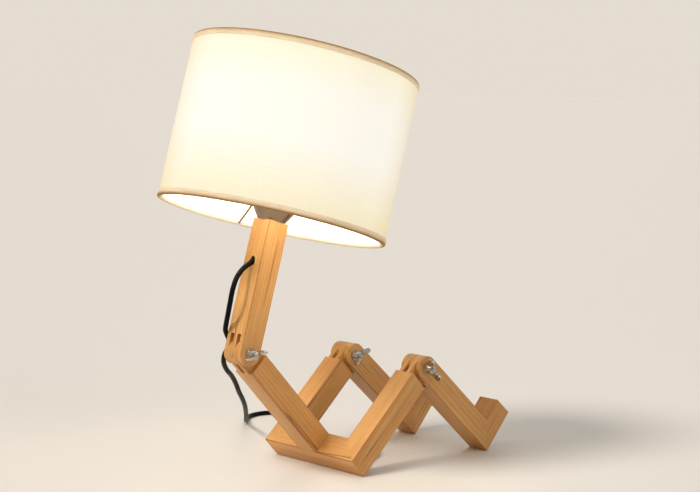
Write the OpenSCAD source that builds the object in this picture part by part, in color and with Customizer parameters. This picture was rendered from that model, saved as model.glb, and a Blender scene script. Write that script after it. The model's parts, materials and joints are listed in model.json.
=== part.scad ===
/* [Wooden bars] */
// Side of the square bars
bar = 25; // [22:0.5:32]
// Rounding of the long edges of the bars
arris = 1; // [0.4:0.1:2]
// Width of the U-shaped seat frame, outside to outside
seat_w = 132; // [108:1:180]
// Thigh, from the back of the seat to the knee bolt
thigh_len = 131; // [105:1:165]
// Torso, from the underside of the seat to the waist bolt
torso_len = 162; // [130:1:200]
// Neck, from the waist bolt to its top
neck_len = 130; // [105:1:160]
// Shin, from the knee bolt to the sole
shin_len = 135; // [110:1:165]
// Reach of a foot in front of its shin
foot_reach = 25; // [12:1:40]

/* [Posture] */
// Rise of the thighs from the table, degrees
thigh_rise = 43.2; // [36:0.1:50]
// Lean of the neck in front of upright, degrees
neck_lean = 15.9; // [0:0.1:25]

/* [Finger joints] */
// Bolt to the shoulder that the fingers stand on
shoulder = 16.5; // [16.5:0.5:22]
// Gap between two fingers, face to face
finger_gap = 0.2; // [0.1:0.05:0.4]
// Bolt shank radius
bolt_r = 2.5; // [2:0.1:3]
// Radial room for the bolt in a turning finger
bolt_play = 0.08; // [0.05:0.01:0.1]
// Washer radius
washer_r = 6; // [5:0.5:9]
// Washer thickness
washer_t = 1; // [0.8:0.1:1.6]
// Half span of a wing nut
wing_span = 13; // [11:0.5:17]
// Height of the wing nut boss
nut_h = 6.5; // [5:0.5:8]
// Turn of the waist wing nut, degrees
waist_nut_turn = 13; // [-90:1:90]
// Turn of the left knee wing nut, degrees
left_nut_turn = 33; // [-90:1:90]
// Turn of the right knee wing nut, degrees
right_nut_turn = -60; // [-90:1:90]

/* [Shade] */
// Outer radius of the drum
shade_r = 112.5; // [90:0.5:140]
// Height of the drum
shade_h = 160; // [120:1:200]
// Bottom rim above the top of the neck
shade_lift = 0; // [-5:0.5:12]
// Thickness of the fabric
cover_t = 0.6; // [0.4:0.1:1]
// Thickness of the stiff liner behind it
liner_t = 0.6; // [0.4:0.1:1]
// Width of the folded hem on both rims
trim_h = 5.5; // [4:0.5:12]
// Thickness of the hem
trim_t = 0.7; // [0.5:0.1:1.2]
// Radius of the wire in the frame
wire_r = 1.2; // [1:0.1:2]
// Height of the fitter ring above the bottom rim
fitter_z = 48; // [42:1:54]
// Turn of the first spoke about the drum's axis, degrees
spoke_turn = 67; // [0:1:119]

/* [Lamp holder] */
// Foot radius of the flared metal cap
cap_foot_r = 14; // [11.5:0.5:15]
// Lip radius of the flared cap
cap_lip_r = 22; // [21.5:0.5:26]
// Height of the flare
cap_h = 13; // [10:0.5:18]
// Outer radius of the holder's barrel
barrel_r = 19.5; // [18.5:0.5:20]
// Top of the barrel above the neck
barrel_top = 64; // [60:1:70]
// Radius of the bore up the neck
bore_r = 4.5; // [4:0.1:5.5]
// Top of the neck down to the cord hole
hole_drop = 42.5; // [36:0.5:60]
// Radius of the slanted cord hole
hole_r = 3.8; // [2.9:0.1:4.2]

/* [Bulb] */
// Globe radius
globe_r = 30; // [24:0.5:34]
// Length from the centre contact to the crown
bulb_len = 106; // [96:1:116]

/* [Cord] */
// Radius of the round cord
cord_r = 2.5; // [2.2:0.1:2.5]
// Length of the switch body
switch_len = 60; // [50:1:75]
// Width of the switch body
switch_w = 24; // [20:1:30]
// Height of the switch body
switch_h = 15; // [14:0.5:20]
// Length of the plug body
plug_len = 36; // [30:1:42]
// Width of the plug body
plug_w = 35.3; // [34:0.1:37]
// Thickness of the plug body
plug_t = 13.7; // [13:0.1:15]
// Distance between the plug's pins
pin_gap = 18.6; // [18.4:0.1:19.2]

/* [Hidden] */
$fn = 96;
eps = 0.01;

wood = [0.80, 0.56, 0.33];
steel = [0.78, 0.77, 0.75];
chrome = [0.86, 0.86, 0.88];
brass = [0.80, 0.66, 0.36];
cream = [0.97, 0.95, 0.88];
hem = [0.93, 0.84, 0.72];
black = [0.09, 0.09, 0.09];
opal = [0.98, 0.97, 0.92];
porcelain = [0.95, 0.94, 0.91];

// ---- places worked out from the driving sizes
half = bar / 2;
layer = bar / 5;
// an eased edge that the frame stands on is a little higher than its sharp corner
seat_ease = arris * (sin(thigh_rise) + cos(thigh_rise) - 1);
knee_z = thigh_len * sin(thigh_rise) + half * cos(thigh_rise);
// fall of the shins at which the eased heels meet the table
heel_a = shin_len - arris;
heel_b = half - arris;
shin_fall = asin((knee_z - seat_ease - arris) / sqrt(heel_a * heel_a + heel_b * heel_b))
    - atan2(heel_b, heel_a);
knee_x = thigh_len * cos(thigh_rise) - half * sin(thigh_rise);
waist_x = half * cos(thigh_rise) - torso_len * sin(thigh_rise);
waist_z = half * sin(thigh_rise) + torso_len * cos(thigh_rise);
// the middle of the object's length, between the shade's back and the toes
toe_ease = arris * (sin(shin_fall) + cos(shin_fall) - 1);
front_x = knee_x + shin_len * cos(shin_fall) + (half + foot_reach) * sin(shin_fall) - toe_ease;
back_x = waist_x + (neck_len + shade_lift - trim_t) * sin(neck_lean)
    - (shade_r + trim_t) * cos(neck_lean);
centre_x = (front_x + back_x) / 2;
leg_y = (seat_w - bar) / 2;
liner_in = shade_r - cover_t - liner_t;
wire_ring_r = liner_in - 0.1 - wire_r;
seam = 0.05;
// joinery
dowel_r = 3;
dowel_half = 11;
dowel_room = 0.05;
bolt_neck_h = 3;
screw_r = 2;
screw_head_r = 4;
screw_len = 55;
screw_point = 4;
screw_sink = 1;
screw_room = 0.05;
// lamp holder, heights above the top of the neck
tube_sink = 14;
nipple_r = 4.4;
nipple_in = 3.4;
cap_wall = 1;
cap_rim = 7;
barrel_foot = 9;
barrel_floor = 12;
core_r = 16.6;
socket_z = barrel_top - 36;
thread_out = 14.6;
thread_in = 13.9;
thread_h = 26;
contact_h = 4;
fitter_in = barrel_r + 0.4;
fitter_out = barrel_r + 6.5;
fitter_t = 1.6;
// bulb, from its centre contact upwards
bulb_foot = socket_z + contact_h + 0.1;
tip_h = 1.6;
screw_cap_r = 13.3;
screw_cap_h = 24;
collar_z = bulb_foot + tip_h + screw_cap_h;
collar_h = 24;
collar_r = 21;
globe_wall = 1.2;

module on_table() {
    translate([-centre_x, 0, -seat_ease]) children();
}
module seat_frame() {
    on_table() rotate([0, -thigh_rise, 0]) children();
}
module neck_frame() {
    on_table() translate([waist_x, 0, waist_z]) rotate([0, neck_lean, 0]) children();
}
module shin_frame(side) {
    on_table() translate([knee_x, side * leg_y, knee_z]) rotate([0, shin_fall, 0]) children();
}
module neck_top() {
    neck_frame() translate([0, 0, neck_len]) children();
}

// ---- bars
function corner_arc(cx, cy, r, from) = [
    for (i = [0:3]) [cx + r * cos(from + i * 30), cy + r * sin(from + i * 30)]
];
function soft_rect(x0, x1, y0, y1, r) = concat(
    corner_arc(x1 - r, y0 + r, r, -90), corner_arc(x1 - r, y1 - r, r, 0),
    corner_arc(x0 + r, y1 - r, r, 90), corner_arc(x0 + r, y0 + r, r, 180)
);
// a bar along X, its section centred on the axis
module bar_x(from, to) {
    translate([from, 0, 0]) rotate([90, 0, 90])
        linear_extrude(to - from) polygon(soft_rect(-half, half, -half, half, arris));
}
// a side outline in X and Z, carried across Y
module across(width) {
    rotate([90, 0, 0]) linear_extrude(width, center = true) children();
}
module pin_y(r, from, to) {
    translate([0, from, 0]) rotate([-90, 0, 0]) cylinder(r = r, h = to - from);
}
// bar along X whose last stretch is rounded about a bolt at x = bolt_x
module rounded_bar(from, bolt_x) {
    intersection() {
        bar_x(from, bolt_x + half);
        union() {
            translate([from, -bar, -bar]) cube([bolt_x - from, 2 * bar, 2 * bar]);
            translate([bolt_x, 0, 0]) pin_y(half, -bar, bar);
        }
    }
}
// what is cut away beside the fingers: the layers named, from the shoulder outwards
module finger_slots(bolt_x, layers) {
    for (n = layers)
        translate([bolt_x - shoulder, (n - 3.5) * layer - finger_gap / 2 + (n == 1 ? -1 : 0), -bar])
            cube([shoulder + bar, layer + finger_gap + (n == 1 || n == 5 ? 1 : 0), 2 * bar]);
}
module two_finger_end(from, bolt_x) {
    difference() {
        rounded_bar(from, bolt_x);
        finger_slots(bolt_x, [1, 3, 5]);
        translate([bolt_x, 0, 0]) pin_y(bolt_r + bolt_play, -bar, bar);
    }
}
module three_finger_end(from, bolt_x) {
    square_neck = 2 * bolt_r + 0.1;
    difference() {
        rounded_bar(from, bolt_x);
        finger_slots(bolt_x, [2, 4]);
        translate([bolt_x, 0, 0]) pin_y(bolt_r + bolt_play, -bar, bar);
        translate([bolt_x, half - bolt_neck_h + bar / 2, 0])
            cube([square_neck, bar, square_neck], center = true);
    }
}

// local: X along the thigh, Y outwards, Z across; the seat's outer back corner is at the origin
module thigh() {
    difference() {
        translate([0, -half, half]) two_finger_end(0, thigh_len);
        rotate([0, 0, 135]) translate([-3 * bar, 0, -bar]) cube([6 * bar, 4 * bar, 4 * bar]);
        thigh_ease();
        dowel_pair(dowel_room);
    }
}
// easing of the seat's upright outer corner
module thigh_ease() {
    translate([0, 0, -1]) linear_extrude(bar + 2) difference() {
        translate([-1, -arris]) square([arris + 1, arris + 1]);
        translate([arris, -arris]) circle(r = arris, $fn = 48);
    }
}
module dowel_pair(room) {
    for (level = [0.29, 0.71])
        translate([half, -half, bar * level]) rotate([0, 90, 45])
            cylinder(r = dowel_r + room, h = 2 * (dowel_half + room), center = true);
}
module left_thigh() {
    color(wood) seat_frame() translate([0, seat_w / 2, 0]) thigh();
}
module right_thigh() {
    color(wood) seat_frame() mirror([0, 1, 0]) translate([0, seat_w / 2, 0]) thigh();
}
module cross_bar() {
    color(wood) seat_frame() difference() {
        translate([half, 0, half]) rotate([0, 0, 90]) bar_x(-seat_w / 2, seat_w / 2);
        for (s = [0, 1]) mirror([0, s, 0]) translate([0, seat_w / 2, 0]) {
            rotate([0, 0, -45]) translate([-3 * bar, 0, -bar]) cube([6 * bar, 4 * bar, 4 * bar]);
            thigh_ease();
            dowel_pair(dowel_room);
        }
        for (s = [-1, 1]) torso_screw_hole(s);
    }
}
module left_seat_dowels() {
    color(wood) seat_frame() translate([0, seat_w / 2, 0]) dowel_pair(0);
}
module right_seat_dowels() {
    color(wood) seat_frame() mirror([0, 1, 0]) translate([0, seat_w / 2, 0]) dowel_pair(0);
}
module torso_post() {
    color(wood) seat_frame() difference() {
        translate([half, 0, 0]) rotate([0, -90, 0]) two_finger_end(bar, torso_len);
        for (s = [-1, 1]) torso_screw_hole(s);
    }
}

// ---- the two screws that hold the torso, driven up through the seat
module screw_shape(room) {
    cylinder(r1 = screw_head_r + room, r2 = screw_r + room, h = screw_head_r - screw_r);
    cylinder(r = screw_r + room, h = screw_len - screw_point + room);
    translate([0, 0, screw_len - screw_point + room])
        cylinder(r1 = screw_r + room, r2 = 0.4, h = screw_point);
}
module torso_screw_place(side) {
    translate([half + side * 4.5, side * 6, screw_sink]) children();
}
module torso_screw_hole(side) {
    torso_screw_place(side) {
        screw_shape(screw_room);
        translate([0, 0, -2]) cylinder(r = screw_head_r + screw_room, h = 2 + eps);
    }
}
module torso_screw(side) {
    color(steel) seat_frame() torso_screw_place(side) difference() {
        screw_shape(0);
        translate([0, 0, -1]) for (a = [0, 90]) rotate([0, 0, a])
            translate([-2.4, -0.5, 0]) cube([4.8, 1, 2.4]);
    }
}

// ---- shins and feet
module heel_ease() {
    translate([shin_len - arris, 0, -half + arris]) rotate([90, 0, 0])
        translate([0, 0, -bar]) linear_extrude(2 * bar) difference() {
            translate([0, -arris - 1]) square([arris + 1, arris + 1]);
            circle(r = arris, $fn = 48);
        }
}
module shin(side) {
    color(wood) shin_frame(side) difference() {
        mirror([1, 0, 0]) three_finger_end(-shin_len, 0);
        translate([shin_len, 0, -half]) rotate([0, -45, 0])
            translate([0, -bar, -3 * bar]) cube([4 * bar, 2 * bar, 6 * bar]);
        heel_ease();
        foot_dowel_shape(dowel_room);
    }
}
module foot_dowel_shape(room) {
    translate([shin_len - half, 0, 0]) rotate([0, 45, 0])
        cylinder(r = dowel_r + room, h = 2 * (dowel_half + room), center = true);
}
module foot(side) {
    color(wood) shin_frame(side) difference() {
        translate([shin_len - half, 0, 0]) rotate([0, -90, 0]) intersection() {
            bar_x(-half, half + foot_reach);
            across(2 * bar) polygon(soft_rect(-half - bar, half + foot_reach, -half, half, arris));
        }
        translate([shin_len, 0, -half]) rotate([0, -45, 0])
            translate([-4 * bar, -bar, -3 * bar]) cube([4 * bar, 2 * bar, 6 * bar]);
        heel_ease();
        foot_dowel_shape(dowel_room);
    }
}
module foot_dowel(side) {
    color(wood) shin_frame(side) foot_dowel_shape(0);
}

// ---- neck
// the cord's way, local to the neck: up the middle, and slanting down out of the back
bend_z = neck_len - hole_drop + half;
module cord_way() {
    translate([0, 0, bend_z]) {
        cylinder(r = bore_r, h = neck_len);
        sphere(r = bore_r);
        rotate([0, -135, 0]) cylinder(r = hole_r, h = 2 * bar);
    }
}
module neck_post() {
    color(wood) neck_frame() difference() {
        rotate([0, -90, 0]) mirror([1, 0, 0]) three_finger_end(-neck_len, 0);
        cord_way();
        translate([0, 0, neck_len - tube_sink]) cylinder(r = nipple_r + 0.1, h = tube_sink + 1);
    }
}

// ---- bolts, washers and wing nuts, along Y with the nut on the right
module bolt() {
    tip = half + washer_t + nut_h + 3;
    point = 0.8;
    color(steel) {
        pin_y(bolt_r, -tip + point, half + 1);
        translate([0, -tip, 0]) rotate([-90, 0, 0]) cylinder(r1 = bolt_r - point, r2 = bolt_r, h = point);
        translate([0, half - bolt_neck_h / 2 + 0.1, 0])
            cube([2 * bolt_r, bolt_neck_h, 2 * bolt_r], center = true);
        translate([0, half, 0]) rotate([-90, 0, 0]) bolt_head();
    }
}
// a low domed head, a slice of a ball
module bolt_head() {
    head_r = 2.6 * bolt_r;
    head_h = 1.3 * bolt_r;
    ball_r = (head_r * head_r + head_h * head_h) / (2 * head_h);
    intersection() {
        translate([0, 0, head_h - ball_r]) sphere(r = ball_r);
        cylinder(r = head_r + 1, h = head_h + 1);
    }
}
module washer() {
    color(steel) difference() {
        pin_y(washer_r, -half - washer_t, -half);
        pin_y(bolt_r + 0.25, -bar, bar);
    }
}
module wing_nut(turn) {
    seat = half + washer_t;
    boss_foot = 2.2 * bolt_r;
    boss_top = 1.75 * bolt_r;
    ear_r = 3.8;
    ear_t = 2.2;
    ear_up = nut_h + 2.5;
    color(chrome) rotate([0, -turn, 0]) translate([0, -seat, 0]) rotate([90, 0, 0]) difference() {
        union() {
            cylinder(r1 = boss_foot, r2 = boss_top, h = nut_h);
            for (s = [0, 1]) mirror([s, 0, 0]) rotate([90, 0, 0])
                linear_extrude(ear_t, center = true) {
                    translate([wing_span - ear_r, ear_up]) circle(r = ear_r, $fn = 48);
                    polygon([
                        [0, 0.8], [boss_foot - 0.6, 0.8], [wing_span - 0.6, ear_up - 2.2],
                        [wing_span - 2 * ear_r + 0.4, ear_up + 1.6], [0, nut_h - 0.5]
                    ]);
                }
        }
        translate([0, 0, -1]) cylinder(r = bolt_r + 0.05, h = nut_h + 20);
        translate([0, 0, nut_h]) cylinder(r = boss_top, h = 20);
    }
}

// ---- lamp holder, local to the top of the neck
module holder_tube() {
    color(steel) neck_top() translate([0, 0, -tube_sink + 0.5]) difference() {
        cylinder(r = nipple_r, h = tube_sink + 8);
        translate([0, 0, -1]) cylinder(r = nipple_in, h = tube_sink + 20);
    }
}
module holder_cap() {
    inside = cap_lip_r - cap_wall;
    floor_t = 2.5;
    color(chrome) neck_top() rotate_extrude() polygon([
        [nipple_r + 0.1, 0], [cap_foot_r, 0], [cap_foot_r + 0.4, 1], [cap_lip_r, cap_h],
        [cap_lip_r, cap_h + cap_rim], [inside, cap_h + cap_rim], [inside, cap_h + 0.5],
        [cap_foot_r - 1, floor_t], [nipple_r + 0.1, floor_t]
    ]);
}
module holder_barrel() {
    taper_h = 6;
    flange_z = fitter_z - fitter_t / 2 - 0.2;
    color(black) neck_top() difference() {
        union() {
            translate([0, 0, barrel_foot]) cylinder(r1 = cap_foot_r + 0.5, r2 = barrel_r - 0.4, h = taper_h);
            translate([0, 0, barrel_foot + taper_h])
                cylinder(r = barrel_r - 0.4, h = barrel_top - barrel_foot - taper_h);
            translate([0, 0, flange_z - 2]) cylinder(r = barrel_r + 2.5, h = 2);
        }
        translate([0, 0, barrel_floor]) cylinder(r = core_r + 0.1, h = barrel_top);
        cylinder(r = nipple_r + 0.1, h = barrel_top);
    }
}
module holder_core() {
    color(porcelain) neck_top() difference() {
        translate([0, 0, barrel_floor + 0.1]) cylinder(r = core_r, h = collar_z - barrel_floor);
        translate([0, 0, socket_z]) cylinder(r = thread_out + 0.05, h = barrel_top);
        cylinder(r = cord_r + 0.1, h = barrel_top);
    }
}
module holder_thread() {
    color(brass) neck_top() translate([0, 0, socket_z + 2]) difference() {
        cylinder(r = thread_out, h = thread_h);
        translate([0, 0, -1]) cylinder(r = thread_in, h = thread_h + 2);
    }
}
module holder_contact() {
    plate_t = 0.8;
    color(brass) neck_top() translate([0, 0, socket_z + 0.02]) {
        cylinder(r = 6, h = plate_t);
        cylinder(r1 = 3, r2 = 2, h = contact_h);
    }
}
module shade_ring_nut() {
    flange_t = 3;
    nut_top = 9;
    grip = 12;
    color(cream) neck_top() translate([0, 0, fitter_z + fitter_t / 2 + 0.05]) difference() {
        union() {
            cylinder(r = fitter_out - 2, h = flange_t);
            cylinder(r = barrel_r + 3, h = nut_top);
        }
        translate([0, 0, -1]) cylinder(r = barrel_r - 0.3, h = nut_top + 2);
        for (i = [0:grip - 1]) rotate([0, 0, (i + 0.5) * 360 / grip])
            translate([barrel_r + 3.6, 0, flange_t + 1]) cylinder(r = 1.4, h = nut_top, $fn = 24);
    }
}

// ---- bulb
module bulb_tip() {
    color(steel) neck_top() translate([0, 0, bulb_foot]) cylinder(r = 4.5, h = tip_h);
}
module bulb_cap() {
    skirt = 3;
    color(chrome) neck_top() translate([0, 0, bulb_foot + tip_h]) {
        difference() {
            cylinder(r1 = 9, r2 = screw_cap_r, h = skirt);
            translate([0, 0, -1]) cylinder(r = 4, h = skirt + 2);
        }
        translate([0, 0, skirt - eps]) difference() {
            cylinder(r = screw_cap_r, h = screw_cap_h - skirt);
            translate([0, 0, -1]) cylinder(r = screw_cap_r - 0.7, h = screw_cap_h);
        }
    }
}
module bulb_base() {
    color(porcelain) neck_top() translate([0, 0, collar_z]) difference() {
        cylinder(r1 = screw_cap_r + 0.7, r2 = collar_r, h = collar_h);
        translate([0, 0, collar_h - 3]) cylinder(r = collar_r - 2, h = collar_h);
    }
}
module bulb_globe() {
    centre_z = bulb_foot + bulb_len - globe_r;
    foot_z = collar_z + collar_h + 0.05;
    // height under the centre at which the neck of the globe runs into the ball
    join = 0.36 * globe_r;
    color(opal) neck_top() difference() {
        union() {
            translate([0, 0, centre_z]) sphere(r = globe_r);
            translate([0, 0, foot_z])
                cylinder(r1 = collar_r, r2 = globe_r * cos(asin(0.36)), h = centre_z - foot_z - join);
        }
        translate([0, 0, centre_z]) sphere(r = globe_r - globe_wall);
        translate([0, 0, foot_z - 1]) cylinder(r = collar_r - 2.5, h = centre_z - foot_z);
        translate([0, 0, foot_z - 2 * globe_r]) cylinder(r = 2 * globe_r, h = 2 * globe_r);
    }
}

// ---- shade, local to the top of the neck
module shade_place() {
    neck_top() translate([0, 0, shade_lift]) children();
}
module tube_ring(outer, thick, from, to) {
    translate([0, 0, from]) difference() {
        cylinder(r = outer, h = to - from, $fn = 180);
        translate([0, 0, -1]) cylinder(r = outer - thick, h = to - from + 2, $fn = 180);
    }
}
module shade_cover() {
    color(cream) shade_place() tube_ring(shade_r, cover_t, 0, shade_h);
}
module shade_liner() {
    color([1, 1, 0.98]) shade_place() tube_ring(shade_r - cover_t - seam, liner_t, 0, shade_h);
}
module wire_ring(z) {
    translate([0, 0, z]) rotate_extrude($fn = 180) translate([wire_ring_r, 0]) circle(r = wire_r, $fn = 24);
}
module shade_top_ring() {
    color(steel) shade_place() wire_ring(shade_h - wire_r);
}
module shade_bottom_ring() {
    color(steel) shade_place() wire_ring(wire_r);
}
// the fitter ring and its three spokes, which are welded to the bottom ring
module shade_spider() {
    ring_z = fitter_z - shade_lift - fitter_t / 2;
    color(steel) shade_place() {
        difference() {
            translate([0, 0, ring_z]) cylinder(r = fitter_out, h = fitter_t);
            translate([0, 0, ring_z - 1]) cylinder(r = fitter_in, h = fitter_t + 2);
        }
        for (a = [0, 120, 240]) rotate([0, 0, spoke_turn + a]) spoke();
    }
}
module spoke() {
    foot_r = wire_ring_r - 0.6 * wire_r;
    run = foot_r - fitter_out + 1.5;
    rise = fitter_z - shade_lift - wire_r;
    translate([foot_r, 0, wire_r]) rotate([0, -atan2(run, rise), 0])
        cylinder(r = wire_r, h = sqrt(run * run + rise * rise), $fn = 24);
}
// the folded hem: outside band, under the rim, and round the wire
module trim_profile() {
    inner = wire_ring_r - wire_r - 0.1;
    difference() {
        translate([inner - trim_t, -trim_t]) square([shade_r + 2 * trim_t - inner, trim_h + trim_t]);
        translate([inner, 0]) square([shade_r - inner + 0.02, trim_h + 1]);
        translate([inner - trim_t - 1, 2 * wire_r + 1]) square([trim_t + 2, trim_h]);
    }
}
module shade_bottom_trim() {
    color(hem) shade_place() rotate_extrude($fn = 180) trim_profile();
}
module shade_top_trim() {
    color(hem) shade_place() translate([0, 0, shade_h]) mirror([0, 0, 1])
        rotate_extrude($fn = 180) trim_profile();
}

// ---- cord, in the table's own frame: the table is at z = 0
unit_eps = 1e-9;
function unit(v) = v / max(norm(v), unit_eps);
function bend4(a, b, c, d, t) = 0.5 * (2 * b + (c - a) * t
    + (2 * a - 5 * b + 4 * c - d) * t * t + (3 * b - 3 * c + d - a) * t * t * t);
function off_table(p) = [p[0], p[1], max(p[2], cord_r + 0.02)];
// a smooth path through the points of a route, with one more place between each two
function smooth(route) = let (last = len(route) - 1) concat(
    [for (i = [0:last - 1], t = [0, 0.5])
        off_table(bend4(route[max(i - 1, 0)], route[i], route[i + 1], route[min(i + 2, last)], t))],
    [route[last]]
);
// a side direction for each place, carried along the path without twist
function carried(along, side, i) = i == len(along) ? []
    : let (next = unit(side - (side * along[i]) * along[i])) concat([next], carried(along, next, i + 1));
module tube(path, first, last, sides) {
    n = len(path);
    along = [for (i = [0:n - 1]) unit(i == 0 ? first : i == n - 1 ? last : path[i + 1] - path[i - 1])];
    side = carried(along, cross(along[0], [0.3, 0.2, 1]), 0);
    rings = [for (i = [0:n - 1], k = [0:sides - 1]) let (a = 360 * k / sides)
        path[i] + cord_r * (cos(a) * side[i] + sin(a) * cross(along[i], side[i]))];
    walls = [for (i = [0:n - 2], k = [0:sides - 1], half_face = [0, 1])
        let (a = i * sides + k, b = i * sides + (k + 1) % sides)
        half_face == 0 ? [a, a + sides, b] : [b, a + sides, b + sides]];
    ends = [for (k = [1:sides - 2], end = [0, 1]) let (o = (n - 1) * sides)
        end == 0 ? [0, k, k + 1] : [o, o + k + 1, o + k]];
    color(black) polyhedron(rings, concat(walls, ends));
}

// where the cord comes out of the neck, a little proud of the slanting hole
mouth_out = half + 2.5;
mouth = [
    waist_x - centre_x - mouth_out * cos(neck_lean) + (bend_z - mouth_out) * sin(neck_lean), 0,
    waist_z - seat_ease + mouth_out * sin(neck_lean) + (bend_z - mouth_out) * cos(neck_lean)
];
mouth_gap = 0.05;
mouth_dir = [-sin(45 + neck_lean), 0, -cos(45 + neck_lean)];
module cord_inner() {
    bend_r = 18;
    lead = bend_r * tan(22.5);
    core_way = neck_len + socket_z - 2;
    path = concat(
        [[0, 0, core_way]],
        [for (a = [0:15:45]) [bend_r * (cos(a) - 1), 0, bend_z + lead - bend_r * sin(a)]],
        [[-mouth_out, 0, bend_z - mouth_out]]
    );
    neck_frame() tube(path, [0, 0, -1], [-1, 0, -1], 10);
}

// The cord's way was drawn for one posture. In another it keeps its place beside the seat, the waist
// and the neck: each place moves with the part of the lamp that is at its height.
drawn_centre = 18.635;
drawn_waist = [-101.785, 0, 126.236];
drawn_mouth = [-111.56, 0, 212.1];
seat_move = [drawn_centre - centre_x, 0, 0];
waist_move = [waist_x, 0, waist_z - seat_ease] - drawn_waist;
mouth_move = mouth - drawn_mouth - seat_move - waist_move;
function beside(p) = let (
        low = min(1, p[2] / 110),
        high = min(1, max(0, p[2] - 130) / 80),
        thicker = half - 12.5
    ) p + seat_move + low * waist_move + high * mouth_move
        + (1 - high) * low * thicker * [-1, p[1] > 10 ? 1 : 0, 0];

// the switch lies in the cord, the plug at its end
switch_at = [88, 154] + [seat_move[0], 0];
switch_turn = 52;
switch_relief = 12;
switch_axis = 6;
plug_at = [-2, 50] + [seat_move[0], 0];
plug_turn = 53;
plug_relief = 20;
function heading(turn) = [cos(turn), sin(turn), 0];
function switch_mouth(s) = [switch_at[0], switch_at[1], switch_axis]
    + s * (switch_len / 2 + switch_relief) * heading(switch_turn);
plug_mouth = [plug_at[0], plug_at[1], plug_t / 2];

// two layers of turns: the spiral winds in, climbs a layer as it turns back, and winds out again
coil_at = [30, 16] + [seat_move[0], 0];
coil_r = 34.2;
coil_step = 5.45;
coil_turns = 5.5;
coil_rings = 24;
function coil_point(turn) =
    let (back = coil_turns / 2,
        r = coil_r - coil_step * (turn < back ? turn : coil_turns - turn),
        climb = min(max(2 * (turn - back) + 0.5, 0), 1))
    [coil_at[0] + r * cos(360 * turn), coil_at[1] - r * sin(360 * turn),
        cord_r + 0.02 + coil_step * climb * climb * (3 - 2 * climb)];
function coil_mouth(end) = coil_point(end * coil_turns) + [0, 2 * cord_r, 0];
coil_path = concat(
    [coil_mouth(0)],
    [for (i = [0:coil_turns * coil_rings]) coil_point(i / coil_rings)],
    [coil_mouth(1)]
);
coil_gap = min([for (i = [0:len(coil_path) - 1], j = [i + coil_rings / 2:len(coil_path) - 1])
    norm(coil_path[i] - coil_path[j])]) - 2 * cord_r;
echo(coil_gap_to_itself_mm = coil_gap);
module cord_coil() {
    tube(coil_path, [0, -1, 0], [0, 1, 0], 6);
}

// the cord hangs from the neck, passes the waist on the left, and comes down behind the seat
fall_route = concat([mouth + mouth_gap * mouth_dir, mouth + 9 * mouth_dir], [for (p = [
    [-128, -1, 200], [-133.5, -1.5, 189], [-135.5, 0, 176], [-134.5, 4.5, 164], [-132.2, 9.8, 155],
    [-129.7, 14.2, 148], [-126.3, 16.4, 142.5], [-122.6, 17.6, 137], [-120.3, 21, 129.5],
    [-120.5, 27, 120.5],
    [-115, 35, 111], [-103, 45, 101], [-89, 55, 92.5],
    [-74, 67, 81.5], [-59, 80, 69], [-42, 95, 57], [-22, 115, 43.5], [-1, 139, 30.5],
    [20, 164, 18.5], [41, 190, 8.5], [62, 214, 2.5], [80, 228, 2.5], [102, 229, 2.5], [117, 214, 2.5],
    [119.5, 200, 4.5]
]) beside(p)], [switch_mouth(1)]);
run_route = concat([switch_mouth(-1)], [for (p = [
    [59.5, 114, 4.5], [58, 101, 2.5], [58, 84, 2.5], [60, 66, 2.5], [62.5, 46, 2.5], [64, 32, 2.5]
]) p + seat_move], [coil_mouth(0)]);
end_route = concat([coil_mouth(1)], [for (p = [
    [-5.5, 29, 7.6], [-6, 37, 7.2], [-4.8, 44, 6.9]
]) p + seat_move], [plug_mouth]);
module cord_fall() {
    tube(smooth(fall_route), mouth_dir, -heading(switch_turn), 10);
}
module cord_run() {
    tube(smooth(run_route), -heading(switch_turn), [0, -1, 0], 10);
}
module cord_end() {
    tube(smooth(end_route), [0, 1, 0], heading(plug_turn), 10);
}

// ---- switch, along local X, and its rocker
rocker_z = 11.2;
rocker_len = 15.2;
rocker_w = 8;
rocker_tilt = 8;
rocker_pin_r = 1.2;
rocker_pin = 5.2;
switch_screw_r = 1.2;
module switch_place() {
    translate([switch_at[0], switch_at[1], 0]) rotate([0, 0, switch_turn]) children();
}
module slab(length, width, from, to, r) {
    translate([-length / 2 + r, -width / 2, from]) cube([length - 2 * r, width, to - from]);
    translate([-length / 2, -width / 2 + r, from]) cube([length, width - 2 * r, to - from]);
    for (x = [-1, 1], y = [-1, 1])
        translate([x * (length / 2 - r), y * (width / 2 - r), from]) cylinder(r = r, h = to - from);
}
module switch_base() {
    color(black) switch_place() {
        difference() {
            slab(switch_len, switch_w, 0, switch_axis, 7);
            for (s = [-1, 1]) translate([s * (switch_len / 2 - 8), 0, -1]) {
                cylinder(r = 2 * switch_screw_r + 0.1, h = 3);
                cylinder(r = switch_screw_r + 0.05, h = switch_h);
            }
        }
        for (s = [0, 1]) mirror([s, 0, 0]) translate([switch_len / 2 - 0.5, 0, switch_axis])
            rotate([0, 90, 0]) cylinder(r1 = 4.8, r2 = 3.2, h = switch_relief + 0.5);
    }
}
module switch_cover() {
    seat_z = switch_axis + 0.05;
    color(black) switch_place() difference() {
        slab(switch_len - 1, switch_w, seat_z, switch_h, 7);
        translate([0, 0, switch_h / 2 + seat_z])
            cube([rocker_len + 1.8, rocker_w + 0.4, switch_h], center = true);
        translate([0, 0, rocker_z]) pin_y(rocker_pin_r + 0.05, -rocker_pin - 0.2, rocker_pin + 0.2);
        for (s = [0, 1]) mirror([s, 0, 0]) {
            translate([switch_len / 2 - 1, 0, switch_axis]) rotate([0, 90, 0]) cylinder(r = 4.9, h = 5);
            translate([switch_len / 2 - 8, 0, 0]) cylinder(r = switch_screw_r + 0.05, h = switch_axis + 6);
        }
    }
}
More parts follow.
